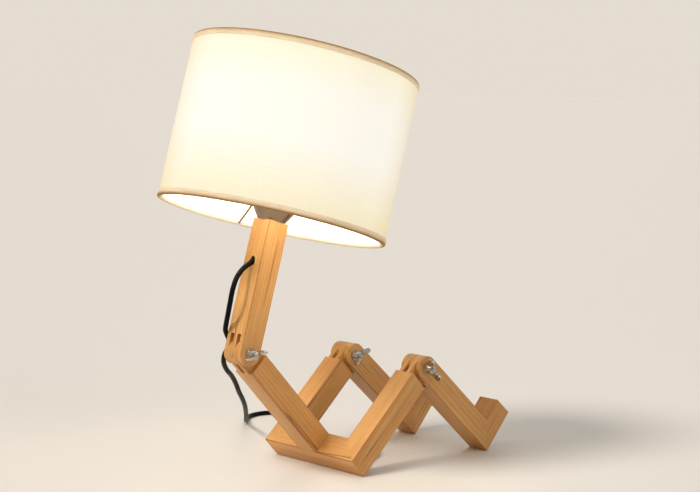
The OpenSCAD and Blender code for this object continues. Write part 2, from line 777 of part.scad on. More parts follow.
module switch_rocker() {
    end = rocker_len / 2;
    color(black) switch_place() translate([0, 0, rocker_z]) rotate([0, rocker_tilt, 0]) {
        across(rocker_w) polygon([
            [-3, -2.6], [3, -2.6], [end, 0.8], [end, switch_h - rocker_z + 1], [0, switch_h - rocker_z],
            [-end, switch_h - rocker_z + 1], [-end, 0.8]
        ]);
        pin_y(rocker_pin_r, -rocker_pin, rocker_pin);
    }
}
module switch_screw(s) {
    color(steel) switch_place() translate([s * (switch_len / 2 - 8), 0, 0.4]) difference() {
        union() {
            cylinder(r = 2 * switch_screw_r, h = 1.5);
            cylinder(r = switch_screw_r, h = switch_axis + 4);
        }
        translate([-2, -0.3, -1]) cube([4, 0.6, 1.6]);
    }
}

// ---- plug, along local X from the mouth of its strain relief
pin_r = 2;
pin_len = 19;
pin_sunk = 6;
// next to the body a pin is thinner, where an insulating sleeve covers it
sleeve_r = 1.85;
sleeve_len = 10;
module plug_place() {
    translate(plug_mouth) rotate([0, 0, plug_turn]) children();
}
module plug_body() {
    wide = plug_w / 2;
    rear = 8;
    color(black) plug_place() {
        rotate([0, 90, 0]) cylinder(r1 = cord_r + 0.6, r2 = 5.5, h = plug_relief + 0.5);
        difference() {
            translate([plug_relief, 0, 0]) intersection() {
                translate([0, 0, -plug_t]) linear_extrude(2 * plug_t) polygon([
                    [0, -rear], [0.55 * plug_len, -wide], [plug_len, -wide],
                    [plug_len, wide], [0.55 * plug_len, wide], [0, rear]
                ]);
                rotate([90, 0, 90]) linear_extrude(plug_len)
                    polygon(soft_rect(-wide, wide, -plug_t / 2, plug_t / 2, 4));
            }
            for (s = [-1, 1]) translate([plug_relief + plug_len - pin_sunk, s * pin_gap / 2, 0])
                rotate([0, 90, 0]) cylinder(r = sleeve_r + 0.02, h = pin_sunk + 1);
            for (i = [0:2], s = [-1, 1])
                translate([plug_relief + plug_len * (0.66 + 0.1 * i), s * wide, 0])
                    cube([1.2, 1.6, 2 * plug_t], center = true);
        }
    }
}
module plug_pin(s) {
    point = 1;
    from = plug_relief + plug_len - pin_sunk;
    color(brass) plug_place() translate([from, s * pin_gap / 2, 0]) rotate([0, 90, 0]) {
        cylinder(r = sleeve_r, h = pin_sunk + sleeve_len + 1);
        translate([0, 0, pin_sunk + sleeve_len]) cylinder(r = pin_r, h = pin_len - sleeve_len - point);
        translate([0, 0, pin_sunk + pin_len - point]) cylinder(r1 = pin_r, r2 = pin_r - 0.8, h = point);
    }
}

cross_bar();
left_thigh();
right_thigh();
torso_post();
left_seat_dowels();
right_seat_dowels();
torso_screw(1);  // torso_screw_left
torso_screw(-1);  // torso_screw_right
neck_post();
shin(1);  // left_shin
foot(1);  // left_foot
foot_dowel(1);  // left_foot_dowel
shin(-1);  // right_shin
foot(-1);  // right_foot
foot_dowel(-1);  // right_foot_dowel
neck_frame() bolt();  // waist_bolt
neck_frame() washer();  // waist_washer
neck_frame() wing_nut(waist_nut_turn + neck_lean);  // waist_wing_nut
shin_frame(1) bolt();  // left_knee_bolt
shin_frame(1) washer();  // left_knee_washer
shin_frame(1) wing_nut(left_nut_turn + shin_fall);  // left_knee_wing_nut
shin_frame(-1) bolt();  // right_knee_bolt
shin_frame(-1) washer();  // right_knee_washer
shin_frame(-1) wing_nut(right_nut_turn + shin_fall);  // right_knee_wing_nut
holder_tube();
holder_cap();
holder_barrel();
holder_core();
holder_thread();
holder_contact();
shade_ring_nut();
shade_spider();
shade_bottom_ring();
shade_top_ring();
shade_liner();
shade_cover();
shade_top_trim();
shade_bottom_trim();
bulb_globe();
bulb_base();
bulb_cap();
bulb_tip();
cord_inner();
cord_fall();
switch_base();
switch_cover();
switch_rocker();
switch_screw(1);  // switch_screw_front
switch_screw(-1);  // switch_screw_back
cord_run();
cord_coil();
cord_end();
plug_body();
plug_pin(1);  // plug_pin_left
plug_pin(-1);  // plug_pin_right
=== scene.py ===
# %% [markdown]
# # A seated wooden desk lamp
# Nine square wooden bars make a figure that sits on the table: a torso, a neck, a U-shaped seat whose
# arms are the thighs, and two shins with feet. Bolts with wing nuts clamp its finger joints, and a
# lit drum shade is its head. The construction arrives as a finished frame; these cells give every
# surface its finish and make the soft pieces, which are the fabric and the cord.

# %% Load the frame
import json
from math import cos, degrees, pi, radians, sin

import bpy
import numpy as np
from mathutils import Matrix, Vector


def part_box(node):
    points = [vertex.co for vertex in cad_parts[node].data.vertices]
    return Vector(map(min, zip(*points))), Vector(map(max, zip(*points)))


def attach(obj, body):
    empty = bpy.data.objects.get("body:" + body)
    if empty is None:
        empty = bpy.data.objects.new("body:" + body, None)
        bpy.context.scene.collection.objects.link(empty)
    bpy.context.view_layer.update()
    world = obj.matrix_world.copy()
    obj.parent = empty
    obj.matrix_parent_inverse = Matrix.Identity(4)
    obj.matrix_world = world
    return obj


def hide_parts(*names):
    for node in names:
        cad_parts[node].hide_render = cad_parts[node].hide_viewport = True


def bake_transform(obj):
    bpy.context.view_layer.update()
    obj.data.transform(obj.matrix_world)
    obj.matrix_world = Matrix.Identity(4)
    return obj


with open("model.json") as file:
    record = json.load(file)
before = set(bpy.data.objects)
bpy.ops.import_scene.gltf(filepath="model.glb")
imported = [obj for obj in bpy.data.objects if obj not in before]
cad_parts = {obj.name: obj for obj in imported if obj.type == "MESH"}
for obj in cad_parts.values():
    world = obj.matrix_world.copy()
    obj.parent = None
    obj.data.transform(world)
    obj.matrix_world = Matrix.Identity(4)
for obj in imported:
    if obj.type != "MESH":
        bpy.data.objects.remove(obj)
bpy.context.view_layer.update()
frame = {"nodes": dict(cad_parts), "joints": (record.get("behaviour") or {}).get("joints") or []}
nodes = frame["nodes"]

# %% [markdown]
# ## Where things are
# The waist and the knees are hinges of the frame, so their places are read from it. The neck's lean
# and the rise of the thighs are repeated here, because the grain has to run along each bar and the
# shade stands square on the neck.

# %% The frame's own places and slopes
MM = 0.001
BAR = 25 * MM
NECK_LEAN = radians(15.9)
THIGH_RISE = radians(43.2)
SHIN_FALL = radians(41.48)
NECK_LENGTH = 130 * MM

hinge = {j["name"]: np.array(j["pos_m"]) for j in frame["joints"]}
WAIST = hinge["waist_bend"]
UP_NECK = np.array([sin(NECK_LEAN), 0, cos(NECK_LEAN)])
AHEAD_NECK = np.array([cos(NECK_LEAN), 0, -sin(NECK_LEAN)])
NECK_TOP = WAIST + NECK_LENGTH * UP_NECK


def on_neck(x, y, z):
    """Takes distances from the neck's top, ahead, left and up the neck, to a point in the frame."""
    x, y, z = np.broadcast_arrays(x, y, z)
    left = np.array([0.0, 1.0, 0.0])
    return NECK_TOP + x[..., None] * AHEAD_NECK + y[..., None] * left + z[..., None] * UP_NECK


print("neck top at", NECK_TOP.round(4))

# %% [markdown]
# ## The camera
# It stands behind the figure's right side, a little above the shade, with a long lens. Its turn, dip
# and slight roll were worked out from the bars' corners, so one photograph pixel is one render pixel.

# %% Camera
CAMERA_AT = (-1.10836, -1.20731, 0.38308)
CAMERA_TURN = radians(46.927)
CAMERA_DIP = radians(-5.598)
CAMERA_ROLL = radians(0.667)
SENSOR = 36.0
LENS = 83.952

level_toward = np.array([cos(CAMERA_TURN), sin(CAMERA_TURN), 0])
toward = cos(CAMERA_DIP) * level_toward + np.array([0, 0, sin(CAMERA_DIP)])
level_right = np.array([sin(CAMERA_TURN), -cos(CAMERA_TURN), 0])
level_up = np.cross(level_right, toward)
right = cos(CAMERA_ROLL) * level_right + sin(CAMERA_ROLL) * level_up
up = cos(CAMERA_ROLL) * level_up - sin(CAMERA_ROLL) * level_right

camera_data = bpy.data.cameras.new("camera")
camera_data.lens = LENS
camera_data.sensor_width = SENSOR
camera = bpy.data.objects.new("camera", camera_data)
placed = np.eye(4)
placed[:3, 0], placed[:3, 1], placed[:3, 2], placed[:3, 3] = right, up, -toward, CAMERA_AT
camera.matrix_world = Matrix(placed.tolist())
bpy.context.scene.collection.objects.link(camera)
bpy.context.scene.camera = camera
print("camera looks", round(degrees(CAMERA_TURN), 1), "degrees round,", LENS, "mm lens")

# %% [markdown]
# ## Surfaces from grids
# Every new piece here is a grid of points that is bent into shape. A grid can close on itself along
# either side, as a tube or a rim does. One helper turns the points into a mesh, with a UV map in
# metres where one is given, so that a weave has the same size wherever it lies.


# %% A mesh from a grid of points
def grid_piece(name, points, uv=None, closed=(False, False), capped=False):
    """points is (rows, columns, 3). Each face joins four neighbours, anticlockwise seen from outside.

    closed says whether the last row or column meets the first; capped closes both ends of a tube.
    """
    rows, columns = points.shape[:2]
    index = np.arange(rows * columns).reshape(rows, columns)
    if closed[0]:
        index = np.vstack([index, index[:1]])
    if closed[1]:
        index = np.hstack([index, index[:, :1]])
    quads = np.stack([index[:-1, :-1], index[:-1, 1:], index[1:, 1:], index[1:, :-1]], -1)
    faces = quads.reshape(-1, 4).tolist()
    if capped:
        faces += [index[0, :columns][::-1].tolist(), index[-1, :columns].tolist()]
    mesh = bpy.data.meshes.new(name)
    mesh.from_pydata(points.reshape(-1, 3).tolist(), [], faces)
    mesh.polygons.foreach_set("use_smooth", np.arange(len(faces)) < len(quads.reshape(-1, 4)))
    if uv is not None:
        corner = np.stack([uv[:-1, :-1], uv[:-1, 1:], uv[1:, 1:], uv[1:, :-1]], 2)
        mesh.uv_layers.new(name="flat").data.foreach_set("uv", corner.astype(np.float32).ravel())
    piece = bpy.data.objects.new(name, mesh)
    bpy.context.scene.collection.objects.link(piece)
    print(name, "has", len(faces), "faces")
    return piece


# %% [markdown]
# ## The cord
# The lamp has an ordinary round black cord, 5 mm thick. It comes out of the slanting hole in the
# back of the neck, falls past the left of the waist joint and reaches the table behind the seat. There
# it runs through a switch and winds into a small coil under the seat, which ends in the plug. It is
# one unbroken tube along a smooth curve, drawn through listed points.

# %% The cord's route
CORD_R = 2.5 * MM
FLOOR_PLAY = 0.02 * MM
MOUTH_OUT = 15 * MM
HOLE_DROP = 42.5 * MM
SLANT = radians(45)
mouth = on_neck(-MOUTH_OUT, 0, BAR / 2 - HOLE_DROP - MOUTH_OUT)
mouth_heading = -sin(SLANT) * AHEAD_NECK - cos(SLANT) * UP_NECK

FALL = MM * np.array([
    (-128, -1, 200), (-133.5, -1.5, 189), (-135.5, 0, 176), (-134.5, 4.5, 164), (-132.2, 9.8, 155),
    (-129.7, 14.2, 148), (-126.3, 16.4, 142.5), (-122.6, 17.6, 137), (-120.3, 21, 129.5),
    (-120.5, 27, 120.5), (-115, 35, 111), (-103, 45, 101), (-89, 55, 92.5), (-74, 67, 81.5),
    (-59, 80, 69), (-42, 95, 57), (-22, 115, 43.5), (-1, 139, 30.5),
    (20, 164, 18.5), (41, 190, 8.5), (62, 214, 2.5), (80, 228, 2.5), (102, 229, 2.5),
    (117, 214, 2.5), (119.5, 200, 4.5),
])
SWITCH_AT = MM * np.array([88, 154, 6])
SWITCH_TURN = radians(52)
SWITCH_REACH = 42 * MM
RUN = MM * np.array([
    (59.5, 114, 4.5), (58, 101, 2.5), (58, 84, 2.5), (60, 66, 2.5), (62.5, 46, 2.5), (64, 32, 2.5),
])
END = MM * np.array([(-5.5, 29, 7.6), (-6, 37, 7.2), (-4.8, 44, 6.9), (-2, 50, 6.85)])
print("cord leaves the neck at", mouth.round(4))

# %% [markdown]
# The coil is worked out, not drawn: its radius shrinks steadily for half of its turns and grows again
# for the other half, and in the half turn between them it climbs onto the first layer.

# %% The coil's turns
COIL_AT = MM * np.array([30, 16])
COIL_R = 34.2 * MM
COIL_STEP = 5.45 * MM
COIL_TURNS = 5.5
RINGS_A_TURN = 48

turn = np.arange(int(COIL_TURNS * RINGS_A_TURN) + 1) / RINGS_A_TURN
reach = COIL_R - COIL_STEP * np.minimum(turn, COIL_TURNS - turn)
climb = np.clip(2 * (turn - COIL_TURNS / 2) + 0.5, 0, 1)
coil = np.stack([
    COIL_AT[0] + reach * np.cos(2 * pi * turn),
    COIL_AT[1] - reach * np.sin(2 * pi * turn),
    CORD_R + FLOOR_PLAY + COIL_STEP * climb**2 * (3 - 2 * climb),
], -1)
lead = np.array([0, 2 * CORD_R, 0])
coil = np.vstack([coil[:1] + lead, coil, coil[-1:] + lead])
print("coil of", COIL_TURNS, "turns")


# %% A smooth curve through chosen points
def smooth_through(points, steps):
    """Catmull-Rom: between two points runs a cubic, whose slope at each is half the step between
    that point's two neighbours. No place comes lower than a cord that lies on the table."""
    p = np.vstack([points[:1], points, points[-1:]])
    a, b, c, d = (p[i:len(p) - 3 + i, None] for i in range(4))
    t = (np.arange(steps) / steps)[None, :, None]
    curve = b + 0.5 * t * (c - a + t * (2 * a - 5 * b + 4 * c - d + t * (3 * b - 3 * c + d - a)))
    curve = np.vstack([curve.reshape(-1, 3), points[-1:]])
    curve[:, 2] = np.maximum(curve[:, 2], CORD_R + FLOOR_PLAY)
    return curve


STEPS = 5
STEPS_TAIL = 4
STRAIGHT_OUT = 9 * MM
switch_heading = np.array([cos(SWITCH_TURN), sin(SWITCH_TURN), 0])
switch_in = SWITCH_AT + SWITCH_REACH * switch_heading
switch_out = SWITCH_AT - SWITCH_REACH * switch_heading
clear_of_mouth = mouth + STRAIGHT_OUT * mouth_heading
fall = smooth_through(np.vstack([mouth, clear_of_mouth, FALL, switch_in]), STEPS)
in_switch = np.linspace(switch_in, switch_out, 12)[1:-1]
run = smooth_through(np.vstack([switch_out, RUN, coil[:1]]), STEPS)
tail = smooth_through(np.vstack([coil[-1:], END]), STEPS_TAIL)
route = np.vstack([fall, in_switch, run[:-1], coil, tail[1:]])


# %% A round tube along a route
# no part of the cord runs in this direction, so a side can be found everywhere
NEVER_ALONG = (0.36, -0.2, 0.91)


def tube_along(name, path, radius, sides=20):
    """At each of the path's places stands a circle square to it, of points at each angle a:
    radius * (cos a * side + sin a * over)."""
    along = np.gradient(path, axis=0)
    along /= np.linalg.norm(along, axis=1, keepdims=True)
    side = np.cross(along, NEVER_ALONG)
    side /= np.linalg.norm(side, axis=1, keepdims=True)
    over = np.cross(along, side)
    a = np.linspace(0, 2 * pi, sides, endpoint=False)[None, :, None]
    ring = np.cos(a) * side[:, None] + np.sin(a) * over[:, None]
    return grid_piece(name, path[:, None] + radius * ring, closed=(False, True), capped=True)


cord = tube_along("cord", route, CORD_R)
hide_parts("cord_fall", "cord_run", "cord_coil", "cord_end")
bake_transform(cord)

# %% [markdown]
# ## The shade's fabric
# The head is a drum of thin woven cotton, glued to a stiff white film and held round two wire rings.
# It is a cylinder that stands square on the neck, so height and arc length are its flat pattern. A
# real cover is never quite true: here it wanders in and out by a tenth of a millimetre.

# %% The cover
SHADE_R = 112.5 * MM
SHADE_H = 160 * MM
COVER_T = 0.6 * MM
FABRIC_T = 0.5 * MM
WANDER = 0.06 * MM
AROUND = 240
UP_COVER = 40


def thicken(piece, thickness):
    """Half of the thickness goes to each side of the surface."""
    thick = piece.modifiers.new("thickness", "SOLIDIFY")
    thick.thickness = thickness
    thick.offset = 0


angle, height = np.meshgrid(
    np.linspace(0, 2 * pi, AROUND + 1),
    np.linspace(0, SHADE_H, UP_COVER + 1),
)
wander = WANDER * (np.sin(3 * angle + 1.0) + np.sin(7 * angle + 25 * height) * np.sin(18 * height))
cover_r = SHADE_R - COVER_T / 2 + wander
cover = grid_piece(
    "shade_fabric",
    on_neck(cover_r * np.cos(angle), cover_r * np.sin(angle), height)[:, :-1],
    uv=np.stack([angle * SHADE_R, height], -1),
    closed=(False, True),
)
thicken(cover, FABRIC_T)
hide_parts("shade_cover")
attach(cover, "neck")

# %% [markdown]
# The cloth is a strip whose two ends meet in one upright seam, where a narrow lap is glued over
# the joint. It is turned away from the side that people see.

# %% The seam's lap
SEAM_TURN = radians(18)
LAP = 9 * MM
LAP_T = 0.3 * MM
LAP_EDGE_OUT = 0.10 * MM
LAP_MIDDLE_OUT = 0.32 * MM
HEM_H = 5.5 * MM

angle, height = np.meshgrid(
    SEAM_TURN + np.linspace(-0.5, 0.5, 7) * LAP / SHADE_R,
    np.linspace(HEM_H, SHADE_H - HEM_H, 30),
)
# the lap's two long edges lie down on the cloth, and the middle stands off it
edge = np.abs(angle - SEAM_TURN) > 0.49 * LAP / SHADE_R
lap_r = SHADE_R + np.where(edge, LAP_EDGE_OUT, LAP_MIDDLE_OUT)
lap = grid_piece(
    "shade_seam",
    on_neck(lap_r * np.cos(angle), lap_r * np.sin(angle), height),
    uv=np.stack([angle * SHADE_R, height], -1),
)
thicken(lap, LAP_T)
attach(lap, "neck")

# %% [markdown]
# ## The two hems
# Tape is folded over each wire: a band outside, a turn under the rim and a short flap within. Its
# cross-section is one line, first down and then up again, that is given the tape's thickness by
# stepping to both sides of it. Sweeping that section round the axis makes the hem.

# %% The tape's section
TAPE_T = 0.7 * MM
PUCKER = 0.05 * MM
section = MM * np.array([
    (112.88, 5.45), (112.93, 4.2), (113.0, 2.8), (113.0, 1.4), (112.7, 0.2), (111.9, -0.28),
    (110.6, -0.42), (109.3, -0.2), (108.55, 0.5), (108.3, 1.5), (108.32, 3.0),
])
t = np.linspace(0, len(section) - 1, 41)
line = np.stack([np.interp(t, np.arange(len(section)), section[:, i]) for i in (0, 1)], -1)
# two passes of averaging with the neighbours round off the corners
for _ in range(2):
    line[1:-1] = (line[:-2] + 2 * line[1:-1] + line[2:]) / 4
heading = np.gradient(line, axis=0)
heading /= np.linalg.norm(heading, axis=1, keepdims=True)
outward = np.stack([-heading[:, 1], heading[:, 0]], -1)
loop = np.vstack([line - TAPE_T / 2 * outward, (line + TAPE_T / 2 * outward)[::-1]])
# the loop's places, counted along it, become the tape's own width for its weave and colour
along_tape = np.concatenate([np.linspace(0, 1, len(line)), np.linspace(1, 0, len(line))])
print("tape section of", len(loop), "points")


# %% Sweep the section round each rim
def hem(name, rim, way, replaced):
    """rim is the height of the rim, and way is 1 where the drum is above it or -1 where it is below."""
    angle = np.linspace(0, 2 * pi, AROUND + 1)[None, :]
    pucker = PUCKER * (np.sin(41 * angle) + np.sin(17 * angle + rim * 40))
    r = loop[:, :1] + pucker
    z = rim + way * (loop[:, 1:] + 0.4 * pucker)
    # the upper rim's section is a mirror image, so its loop runs the other way round
    order = slice(None, None, -way)
    points = on_neck(r * np.cos(angle), r * np.sin(angle), z)[order]
    width = np.broadcast_to(along_tape[order][:, None], r.shape)
    uv = np.stack([np.broadcast_to(angle * SHADE_R, r.shape), width], -1)
    piece = grid_piece(name, points[:, :-1], uv=np.vstack([uv, uv[:1]]), closed=(True, True))
    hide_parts(replaced)
    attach(piece, "neck")
    return piece


bottom_hem = hem("bottom_hem", 0, 1, "shade_bottom_trim")
top_hem = hem("top_hem", SHADE_H, -1, "shade_top_trim")

# %% [markdown]
# ## Helpers for finishes
# Each finish is one principled shader. Its plain values sit on the shader's own sockets; what varies
# over a surface comes from patterns in the frame's own coordinates, or from the flat pattern of cloth.


# %% Small helpers for shader nodes
WHITE = (1.0, 1.0, 1.0, 1.0)
BLACK = (0.0, 0.0, 0.0, 1.0)


def rgb(red, green, blue):
    """A colour as a screen shows it, 0 to 255, turned into the linear values that shaders use."""
    c = np.array([red, green, blue]) / 255
    linear = np.where(c <= 0.04045, c / 12.92, ((c + 0.055) / 1.055) ** 2.4)
    return (*linear.tolist(), 1.0)


def finish(name, sockets):
    """A new material whose principled shader has these values on its own sockets."""
    made = bpy.data.materials.new(name)
    made.use_nodes = True
    shader = made.node_tree.nodes["Principled BSDF"]
    for socket, value in sockets.items():
        shader.inputs[socket].default_value = value
    return made


def add(made, kind, inputs=(), output=0, **settings):
    """Adds one node and returns its output. Each input is a constant or another node's output."""
    node = made.node_tree.nodes.new("ShaderNode" + kind)
    for setting, value in settings.items():
        setattr(node, setting, value)
    for socket, value in dict(inputs).items():
        if isinstance(value, bpy.types.NodeSocket):
            made.node_tree.links.new(value, node.inputs[socket])
        else:
            node.inputs[socket].default_value = value
    return node.outputs[output]


def connect(made, socket, output):
    """Feeds one socket of the shader."""
    made.node_tree.links.new(output, made.node_tree.nodes["Principled BSDF"].inputs[socket])


def wear(*names_and_finish):
    """Puts the last argument, a finish, on the nodes and pieces before it."""
    *pieces, made = names_and_finish
    for piece in pieces:
        piece = nodes[piece] if isinstance(piece, str) else piece
        piece.data.materials.clear()
        piece.data.materials.append(made)


print("grey 128 is", round(rgb(128, 128, 128)[0], 3), "in linear light")

# %% [markdown]
# Real surfaces are never one flat value, so every finish below is built from the same few patterns:
# cloudy noise, a ramp that turns it into colours, a range that turns it into roughness, and a bump.


# %% Patterns
def stretched(made, vector, scale):
    """The same coordinates, with each direction multiplied."""
    return add(made, "Mapping", {"Vector": vector, "Scale": scale})


def noise(made, vector, scale=1.0, detail=3.0, rough=0.5):
    """Cloudy values from 0 to 1."""
    inputs = {"Vector": vector, "Scale": scale, "Detail": detail, "Roughness": rough}
    return add(made, "TexNoise", inputs)


def ramp(made, factor, *stops):
    """Colours by position: each stop is (position, linear colour)."""
    node = made.node_tree.nodes.new("ShaderNodeValToRGB")
    made.node_tree.links.new(factor, node.inputs[0])
    elements = node.color_ramp.elements
    while len(elements) < len(stops):
        elements.new(0.5)
    for element, (position, colour) in zip(elements, stops):
        element.position = position
        element.color = colour
    return node.outputs[0]


def spread(made, factor, low, high, start=0.0, end=1.0):
    """Values from start to end become values from low to high."""
    inputs = {"Value": factor, "From Min": start, "From Max": end, "To Min": low, "To Max": high}
    return add(made, "MapRange", inputs)


def multiply(made, a, b, amount=1.0):
    """One colour times another, by amount."""
    return add(made, "Mix", {0: amount, 6: a, 7: b}, output=2, data_type="RGBA", blend_type="MULTIPLY")


def relief(made, height, depth):
    """A bump whose full height is depth metres."""
    connect(made, "Normal", add(made, "Bump", {"Height": height, "Distance": depth, "Strength": 1.0}))


def own_coordinates(made):
    """The surface's place in its own object, which moves with it."""
    return add(made, "TexCoord", output=3)


# %% [markdown]
# ## Wood
# The bars are planed softwood with a warm oil finish. Growth rings are cylinders round the tree's
# pith, which lies outside the bar, so the pattern is worked out in the bar's own directions: long
# lines where a face runs with the grain, and arcs where a cut goes across it. Each bar comes from
# another place in the board. Fine fibres lie over the rings, and give both colour and touch.

# %% Wood finish
WOOD_LIGHT = rgb(224, 173, 105)
WOOD_MIDDLE = rgb(219, 166, 96)
WOOD_LATE = rgb(210, 153, 83)
WOOD_VEIN = rgb(146, 92, 44)
RINGS = ((0.0, WOOD_LIGHT), (0.45, WOOD_MIDDLE), (0.86, WOOD_LATE), (1.0, WOOD_MIDDLE))
VEINS = ((0.0, BLACK), (0.655, BLACK), (0.69, WHITE), (0.725, BLACK))
STREAKS = ((0.3, (0.74, 0.62, 0.48, 1)), (0.6, WHITE))
FIBRES = ((0.26, (0.52, 0.4, 0.28, 1)), (0.46, WHITE))
CLOUDS = ((0.3, (0.78, 0.69, 0.57, 1)), (0.7, WHITE))
EDGES = ((0.0, (0.7, 0.56, 0.42, 1)), (0.8, WHITE))
EDGE_FROM = 0.3 * MM
EDGE_TO = 2.2 * MM


def from_edge(made, on_axis):
    """How far a place lies from its bar's nearest long edge."""
    aside = add(made, "VectorMath", {0: on_axis}, operation="ABSOLUTE")
    aside = add(made, "VectorMath", {0: aside, 1: (0, BAR / 2, BAR / 2)}, operation="SUBTRACT")
    aside = add(made, "VectorMath", {0: aside, 1: (0, 1, 1)}, operation="MULTIPLY")
    return add(made, "VectorMath", {0: aside}, output=1, operation="LENGTH")


def wood(name, along, centre, number, deepen=1.0):
    """A finish for one bar: its axis runs along and through centre, and number picks its place in the
    board. Hands darken a bar's long edges, which lie half a bar from the axis both ways."""
    along = np.array(along, float)
    across_seat = abs(along[1]) > 0.5
    level = np.array([cos(THIGH_RISE), 0, sin(THIGH_RISE)] if across_seat else [0, 1.0, 0])
    own = np.array([along, level, np.cross(along, level)])
    draw = np.random.default_rng(number)
    pith = (draw.uniform(-1, 1), draw.uniform(0.03, 0.055), draw.uniform(-0.05, 0.05))
    made = finish("wood of " + name, {"Coat Weight": 0.18, "Coat Roughness": 0.32})
    on_axis = add(made, "Mapping", {
        "Vector": own_coordinates(made),
        "Rotation": Matrix(own.tolist()).to_euler(),
        "Location": -own @ centre,
    })
    grain = add(made, "Mapping", {"Vector": on_axis, "Location": pith})
    rings = add(made, "TexWave", {
        "Vector": stretched(made, grain, (0.12, 1, 1)), "Scale": 118.0, "Distortion": 8.0,
        "Detail": 3.0, "Detail Scale": 0.35, "Detail Roughness": 0.55,
    }, wave_type="RINGS", rings_direction="X", wave_profile="SAW")
    # each stretch says how quickly a pattern changes along the bar, and then across it both ways
    streak = noise(made, stretched(made, grain, (14, 330, 330)), detail=3.0, rough=0.6)
    fibre = noise(made, stretched(made, grain, (70, 1500, 1500)), detail=2.0, rough=0.7)
    cloud = noise(made, stretched(made, grain, (6, 32, 32)), detail=2.0)
    vein = noise(made, stretched(made, grain, (5, 120, 120)), detail=1.0)
    colour = ramp(made, rings, *RINGS)
    thin = ramp(made, vein, *VEINS)
    colour = add(made, "Mix", {0: thin, 6: colour, 7: WOOD_VEIN}, output=2, data_type="RGBA")
    colour = multiply(made, colour, ramp(made, streak, *STREAKS), 0.30)
    colour = multiply(made, colour, ramp(made, fibre, *FIBRES), 0.36)
    colour = multiply(made, colour, ramp(made, cloud, *CLOUDS))
    worn = ramp(made, spread(made, from_edge(made, on_axis), 0.0, 1.0, EDGE_FROM, EDGE_TO), *EDGES)
    colour = multiply(made, colour, worn, 0.8)
    colour = multiply(made, colour, (deepen, deepen**1.3, deepen**1.6, 1.0))
    connect(made, "Base Color", colour)
    connect(made, "Roughness", spread(made, streak, 0.62, 0.42))
    height = add(made, "Math", {0: fibre, 1: spread(made, rings, 0.0, 0.5)}, operation="ADD")
    relief(made, height, 0.06 * MM)
    return made


print("light wood is", tuple(round(value, 3) for value in WOOD_LIGHT[:3]), "in linear light")

# %% [markdown]
# A bar's grain runs from end to end, so each bar needs its own direction and a point on its axis. The
# hinges lie on the axes of the bars they join, and the feet and the cross bar are a known step away.
# Where two bars meet in a mitre, their grain then meets at the right angle by itself.

# %% Each bar's own grain
KNEE_TO_SEAT = 118.5 * MM
KNEE_TO_FOOT = 122.5 * MM
DOWEL_WAY = (0.6, 0.8, 0)
DOWEL_DEEPEN = 0.82
thigh_way = np.array([cos(THIGH_RISE), 0, sin(THIGH_RISE)])
torso_way = np.array([-sin(THIGH_RISE), 0, cos(THIGH_RISE)])
shin_way = np.array([cos(SHIN_FALL), 0, -sin(SHIN_FALL)])
foot_way = np.array([sin(SHIN_FALL), 0, cos(SHIN_FALL)])
BARS = {"torso_post": (torso_way, WAIST), "neck_post": (UP_NECK, WAIST)}
for side in ("left", "right"):
    knee = hinge[side + "_knee_bend"]
    BARS[side + "_thigh"] = (thigh_way, knee)
    BARS[side + "_shin"] = (shin_way, knee)
    BARS[side + "_foot"] = (foot_way, knee + KNEE_TO_FOOT * shin_way)
BARS["cross_bar"] = ((0, 1, 0), knee - KNEE_TO_SEAT * thigh_way)
for number, (bar, (way, centre)) in enumerate(BARS.items(), 1):
    wear(bar, wood(bar, way, centre, number))
for number, dowel in enumerate((n for n in nodes if "dowel" in n), 20):
    centre = np.array(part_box(dowel)).mean(axis=0)
    wear(dowel, wood(dowel, DOWEL_WAY, centre, number, deepen=DOWEL_DEEPEN))
print(len(BARS), "bars have their own grain")

# %% [markdown]
# ## Metal
# The wing nuts are cast and bright plated, so they keep a soft unevenness under the shine. Bolts,
# washers and screws are zinc: greyer, and brushed by handling. The flared cap under the shade has a
# mirror polish, and the brown tint in its colour is a painted reflection of warm surroundings. The
# wires of the shade are plain drawn steel.


# %% Metal finishes
PATCH_DEEPEN = 0.86


def metal(name, colour, low, high, scale, depth):
    """Roughness wanders from low to high in patches, which also stand depth metres proud."""
    made = finish(name, {"Metallic": 1.0})
    patch = noise(made, own_coordinates(made), scale, 4.0, 0.6)
    tint = tuple(PATCH_DEEPEN * value for value in colour[:3]) + (1.0,)
    connect(made, "Base Color", ramp(made, patch, (0.35, tint), (0.65, colour)))
    connect(made, "Roughness", spread(made, patch, low, high, 0.3, 0.7))
    relief(made, patch, depth)
    return made


bright = metal("bright plating", rgb(205, 203, 198), 0.16, 0.30, 420.0, 0.05 * MM)
zinc = metal("zinc plating", rgb(186, 186, 182), 0.28, 0.45, 700.0, 0.02 * MM)
# the cap's brown tint is a painted reflection of warm surroundings, not the metal's own colour
polished_painted_reflection = metal("polished cap", rgb(162, 140, 116), 0.10, 0.2, 60.0, 0.01 * MM)
wire = metal("drawn wire", rgb(150, 128, 100), 0.3, 0.45, 500.0, 0.02 * MM)
brass = metal("bare brass", rgb(222, 188, 110), 0.2, 0.4, 300.0, 0.02 * MM)
pins = metal("plated pins", rgb(214, 206, 184), 0.18, 0.3, 400.0, 0.01 * MM)
aluminium = metal("rolled screw cap", rgb(214, 214, 216), 0.25, 0.4, 500.0, 0.02 * MM)
for name in nodes:
    if name.endswith("wing_nut"):
        wear(name, bright)
    elif name.endswith(("_bolt", "_washer")) or "screw" in name:
        wear(name, zinc)
wear("holder_cap", polished_painted_reflection)
wear("holder_tube", "holder_thread", "holder_contact", brass)
wear("shade_spider", "shade_top_ring", "shade_bottom_ring", wire)
wear("bulb_cap", "bulb_tip", aluminium)
wear("plug_pin_left", "plug_pin_right", pins)
print(sum(n.endswith("wing_nut") for n in nodes), "wing nuts are bright")

# %% [markdown]
# ## Rubber, plastic and porcelain
# The cord's sheath is smooth and barely shines, with faint ripples from the coil it was sold in.
# Switch and plug are moulded black plastic with a fine spark-eroded grain. The holder's inside is
# porcelain.


# %% Moulded finishes
ROUGH_PLAY = 0.07


